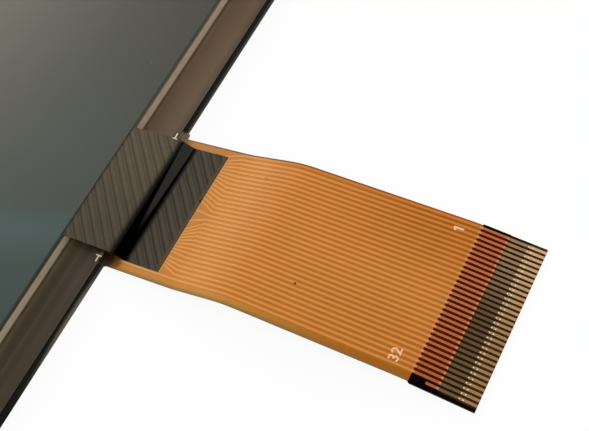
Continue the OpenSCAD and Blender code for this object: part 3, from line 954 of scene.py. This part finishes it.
# The lower film starts a little past the glass edge, so its zero point lies before its first point.
base_depth = 0.05 * mm
base_line = smooth_line(upper_line("flex_base_film"), line_spacing, bend_blend)
base_zero = base_line[1][0, 0] - glass_edge
base_film = grown("flex_base_skin", film_rows("base_rows", base_line, base_zero, base_depth), film.tree, {
    **film_values,
    "Ridge height": 0.0,
    "Depth": base_depth,
    "Main finish": base_polyimide,
    "Tail finish": bare_tail,
    "Line finish": line_copper,
}, soft_angle=35)
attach(base_film, "root")
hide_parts("flex_base_film")

# Conductors. Rolled copper lines, bare and gold plated at the tail. There their colour is painted
# reflection, bright towards the tip and dull towards the film; across the row it is dullest in the middle.
dull_dark = (0.115, 0.073, 0.038, 1)
dull_left = (0.15, 0.095, 0.046, 1)
dull_right = (0.37, 0.245, 0.14, 1)
gold_left = (0.33, 0.2, 0.098, 1)
gold_right = (0.7, 0.46, 0.265, 1)
painted_reflection_to = tip_y + 1.55 * mm
painted_reflection_fade = 0.15 * mm
plating = finish(
    "plated_copper",
    dull_dark,
    grain=1200,
    mottle=0.3,
    rough=0.34,
    spread=0.12,
    gloss=0.15,
    more={"Metallic": 0.25},
)
x, y, z = place_of(plating)
dull_tint = blend(rise(x, -1 * mm, 8 * mm), dull_dark, dull_right)
dull_tint = blend(rise(x, -1 * mm, -8 * mm), dull_tint, dull_left)
gold_tint = blend(rise(x, -4 * mm, 9 * mm), gold_left, gold_right)
# Painted reflection: bright gold towards the tip, dull towards the film.
painted_reflection = rise(y, painted_reflection_to + painted_reflection_fade, painted_reflection_to - painted_reflection_fade)
tint(plating, blend(painted_reflection, dull_tint, gold_tint))
dress("flex_conductors", plating)

# Probe marks. The pins of a tester have pressed two rows of small bright spots into the plated fingers of
# the tail, one in each row on every finger. A spot is a flat bright lens, let into its finger.
probe_tree, given, result = node_group(
    "probe_marks",
    "GeometryNodeTree",
    {"Geometry": "Geometry", "Mark size": "Vector", "Tilt": "Float", "Finish": "Material"},
    {"Geometry": "Geometry"},
)
probe_ball = add(probe_tree, "GeometryNodeMeshUVSphere", {"Segments": 10, "Rings": 6, "Radius": 1.0})
probe_turn = add(probe_tree, "ShaderNodeCombineXYZ", {0: given["Tilt"]})
probe_spread = add(probe_tree, "GeometryNodeInstanceOnPoints", {
    "Points": given["Geometry"],
    "Instance": probe_ball.outputs["Mesh"],
    "Rotation": probe_turn.outputs[0],
    "Scale": given["Mark size"],
})
probe_whole = add(probe_tree, "GeometryNodeRealizeInstances", {0: probe_spread.outputs[0]}).outputs[0]
probe_paint = {"Geometry": probe_whole, "Material": given["Finish"]}
feed(result["Geometry"], add(probe_tree, "GeometryNodeSetMaterial", probe_paint).outputs[0])

probe_rows = (1.62 * mm, 1.27 * mm)
finger_line = upper_line("flex_conductors")
tail_step = finger_line[-2] - finger_line[-1]
tail_tilt = math.atan2(tail_step[1], tail_step[0])
probe_places = []
for back in probe_rows:
    place_y, place_z = finger_line[-1] + back * np.array([math.cos(tail_tilt), math.sin(tail_tilt)])
    for finger in range(line_count):
        from_middle = film_values["Tail pitch"] * ((line_count - 1) / 2 - finger)
        probe_places.append((film_values["Sideways shift"] + from_middle, place_y, place_z))
probe_start = bpy.data.meshes.new("probe_places")
probe_start.from_pydata(probe_places, [], [])
probe_pale = (0.95, 0.8, 0.58, 1)
bright_metal = finish(
    "bright_metal", probe_pale, grain=4000, mottle=0.2, rough=0.3, spread=0.1, more=dull_shine
)
probe_marks = grown("probe_marks", probe_start, probe_tree, {
    "Mark size": (0.065 * mm, 0.085 * mm, 0.014 * mm),
    "Tilt": tail_tilt,
    "Finish": bright_metal,
}, soft_angle=60)
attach(probe_marks, "root")

# Stiffener. A dark strip of glass cloth and resin, glued under the tail and cut out with it. It brings the
# tail to the thickness that a connector grips.
board_brown = (0.012, 0.007, 0.004, 1)
stiff_board = finish(
    "stiffener_board", board_brown, grain=900, mottle=0.5, rough=0.5, spread=0.15, gloss=0.2
)
dress("tail_stiffener", stiff_board)

# Resin bead. Brown resin, wiped into the corner under the flex and cured there, so that the flex doesn't
# peel at the glass edge. Under the flex it is dark resin painted almost black with painted shade, and it is
# paler at its open right-hand end.
bead_brown = (0.115, 0.07, 0.034, 1)
bead_shade_dark = (0.02, 0.009, 0.003, 1)
bead_resin = finish(
    "bead_resin", bead_brown, grain=1800, mottle=1.3, rough=0.2, spread=0.15, gloss=0.12, bump=0.02 * mm
)
x, y, z = place_of(bead_resin)
# Painted shade: the bead is almost black under the flex.
tint(bead_resin, blend(rise(x, 7.2 * mm, 5 * mm), bead_brown, bead_shade_dark))
dress("edge_resin", bead_resin)

# Cover tape. A stiff dark film with two sets of slanting grooves, laid from the front plate over the chip,
# down a step and onto the flex. The step is painted black as shade, with a painted dim sheen towards the
# right, and the front edge has a small nick. Painted shade also darkens the grooves, the left of the roof,
# the flat past the step and the film next to the step, and the brown fringe at the front edge is glue with
# painted shade.


def rib_height(across, along, gap):
    """Height from 0 to 1 of the tape's wavering slanted ribs, between deep and shallow grooves."""
    spot = add(across.tree, "ShaderNodeCombineXYZ", {0: across, 1: along}).outputs[0]
    slant = along * rib_lean + (noise(spot, scale=350, detail=2.0) * rib_waver + across)
    height = 1.0
    for groove_place, groove_depth, sharpness in rib_grooves:
        wave = calc("COSINE", (slant - groove_place) / gap * (2 * math.pi))
        height = calc("POWER", most(wave, 0.0), sharpness) * -groove_depth + height
    return most(height, 0.0)


rib_lean = 1.04
rib_waver = 0.2 * mm
rib_grooves = ((0.74 * mm, 1.0, 2.0), (0.22 * mm, 0.65, 4.0))
rib_gap = 1.42 * mm
tape_low, tape_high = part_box("cover_tape")
tape_line = smooth_line(upper_line("cover_tape"), spacing=0.02 * mm, reach=0.1 * mm)
tape_length = float(tape_line[0][-1])
tape_edge = distance_at(tape_line, glass_edge)
step_start = tape_edge + 1.8 * mm
step_end = tape_edge + 3.25 * mm
tape_values = {
    "Sideways shift": (tape_high.x + tape_low.x) / 2,
    "Rib pitch": rib_gap,
    "Rib height": 0.01 * mm,
    "Depth": 0.1 * mm,
    "Step start": step_start,
    "Step end": step_end,
    "Nick place": 1.6 * mm,
    "Nick depth": 0.25 * mm,
    "Length": tape_length,
}

# The tape's columns run over the top and back along the underside, and the last one meets the first.
tape_columns = 180
tape = sheet_tree("grooved_tape", 2 * tape_columns + 1)
tape_size = {name: new_input(tape, name) for name in tape_values}
underneath = calc("COMPARE", tape.column, 1.5 * tape_columns - 0.5, 0.5 * tape_columns - 0.4)
round_column = calc("MODULO", tape.column, 2 * tape_columns)
mirror_column = 2 * tape_columns - 1 - tape.column
top_column = underneath * (mirror_column - round_column) + round_column
half_share = top_column / (tape_columns - 1) * -2.0 + 1.0
tape_x = half_share * tape.reach + tape_size["Sideways shift"]
on_step = (tape.along > tape_size["Step start"]) * (tape.along < tape_size["Step end"])
ribbed = (1.0 - underneath) * (1.0 - on_step)
rib_drop = rib_height(tape_x, tape.along, tape_size["Rib pitch"]) - 1.0
tape_lift = rib_drop * ribbed * tape_size["Rib height"] - underneath * tape_size["Depth"]
nick_cut = most(tape_size["Nick depth"] - abs(tape_x - tape_size["Nick place"]), 0.0)
pull_back = most(tape.along - (tape_size["Length"] - nick_cut), 0.0)
end_sheet(tape, tape_x, tape_lift, {"Step finish": on_step}, pull_back)

rib_pale = (0.098, 0.076, 0.044, 1)
groove_shade = (0.052, 0.041, 0.025, 1)
groove_deep_shade = (0.035, 0.027, 0.018, 1)
glue_and_shade_brown = (0.1, 0.045, 0.008, 1)
tape_painted_shade = (0.0004, 0.0004, 0.0003, 1)
left_shade = 0.26
far_shade = 0.4
ribbed_film = finish("ribbed_film", rib_pale, grain=700, mottle=0.35, rough=0.5, spread=0.1, gloss=0.1)
along = flex_distance(ribbed_film)
x, y, z = place_of(ribbed_film)
# Painted shade: the grooves are darker, the roof darkens towards the left, the flat past the step is darker
# still, and the film turns black next to the step.
past_step = rise(along, step_end, step_end + 1 * mm)
groove_shade_tint = blend(past_step, groove_shade, groove_deep_shade)
rib_tint = blend(rib_height(x, along, rib_gap), groove_shade_tint, rib_pale)
shade = rise(x, 6 * mm, -6 * mm) * left_shade
rib_tint = blend(past_step * (far_shade - shade) + shade, rib_tint, tape_painted_shade)
# A brown fringe along the front edge: glue with painted shade.
by_front = rise(along, tape_length - 0.55 * mm, tape_length - 0.1 * mm)
rib_tint = blend(by_front, rib_tint, glue_and_shade_brown)
by_step = rise(along, step_start - 1 * mm, step_start) * rise(along, step_end + 0.75 * mm, step_end)
tint(ribbed_film, blend(by_step, rib_tint, tape_painted_shade))

# Painted shade and sheen: the step is black, with a dim grey sheen band that widens towards the right.
step_painted_sheen = (0.034, 0.032, 0.025, 1)
painted_shade_step = finish("painted_shade_step", tape_painted_shade, grain=700, mottle=0.3, rough=0.7, spread=0.1, gloss=0.0)
x, y, z = place_of(painted_shade_step)
sheen_middle = x * 0.0145 + (glass_edge - 2.44 * mm)
sheen_half = x * 0.041 + 0.24 * mm
in_sheen = rise(sheen_half - abs(y - sheen_middle), -0.05 * mm, 0.12 * mm)
tint(painted_shade_step, blend(in_sheen * rise(x, -4 * mm, 0), tape_painted_shade, step_painted_sheen))

tape_row_count = 160
tape_runs = np.linspace(0, tape_length, tape_row_count)
tape_reaches = np.full(tape_row_count, (tape_high.x - tape_low.x) / 2)
tape_rows = station_mesh("tape_rows", tape_line, tape_runs, 0.0, tape_reaches)
grooved_tape = grown("grooved_tape", tape_rows, tape.tree, {
    **tape_values,
    "Main finish": ribbed_film,
    "Step finish": painted_shade_step,
}, soft_angle=40)
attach(grooved_tape, "root")
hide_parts("cover_tape")

# Contact numbers. The first and the last contact are numbered on the film beside the tail. The print is
# pale ink, screened on, and stands up a few thousandths of a millimetre.
print_pale = (0.86, 0.53, 0.31, 1)
print_depth = 0.006 * mm
print_ink = finish("pale_print", print_pale, grain=3000, mottle=0.4, rough=0.5, spread=0.1, gloss=0.2)


def print_number(name, mesh, middle_x, distance):
    """Lays a flat number on the film, upright as seen from the tip, at a distance along the flex."""
    close_up(mesh)
    here = at_distance(cover_zero + distance, *cover_line)
    ahead = at_distance(cover_zero + distance + mm, *cover_line)
    fall = math.atan2(ahead[1] - here[1], here[0] - ahead[0])
    mesh.transform(Matrix.Translation((middle_x, *here)) @ Matrix.Rotation(-fall, 4, "X"))
    mesh.materials.append(print_ink)
    number = placed(name, mesh)
    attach(number, "root")


one_stem = ((-0.02, -0.5), (0.18, -0.5), (0.18, 0.5), (0.02, 0.5))
one_flag = ((-0.24, 0.34), (-0.24, 0.14), (-0.02, 0.28))
one_outline = one_stem + one_flag
one_count = len(one_outline)
one_points = [(u * mm, v * mm, height) for height in (-print_depth, print_depth) for u, v in one_outline]
one_faces = [tuple(range(one_count)), tuple(range(one_count, 2 * one_count))]
for first in range(one_count):
    second = (first + 1) % one_count
    one_faces.append((first, second, one_count + second, one_count + first))
one_mesh = bpy.data.meshes.new("first_number")
one_mesh.from_pydata(one_points, [], one_faces)
print_number("first_contact_number", one_mesh, middle_x=6.93 * mm, distance=33.35 * mm)

letters = bpy.data.curves.new("last_number", "FONT")
letters.body = "32"
letters.size = 1.35 * mm
letters.align_x = "CENTER"
letters.align_y = "CENTER"
letters.extrude = print_depth
letters.offset = 0.02 * mm
letter_holder = placed("last_number", letters)
letter_graph = bpy.context.evaluated_depsgraph_get()
letter_mesh = bpy.data.meshes.new_from_object(letter_holder.evaluated_get(letter_graph))
bpy.data.objects.remove(letter_holder)
print_number("last_contact_number", letter_mesh, middle_x=-6.4 * mm, distance=33.28 * mm)
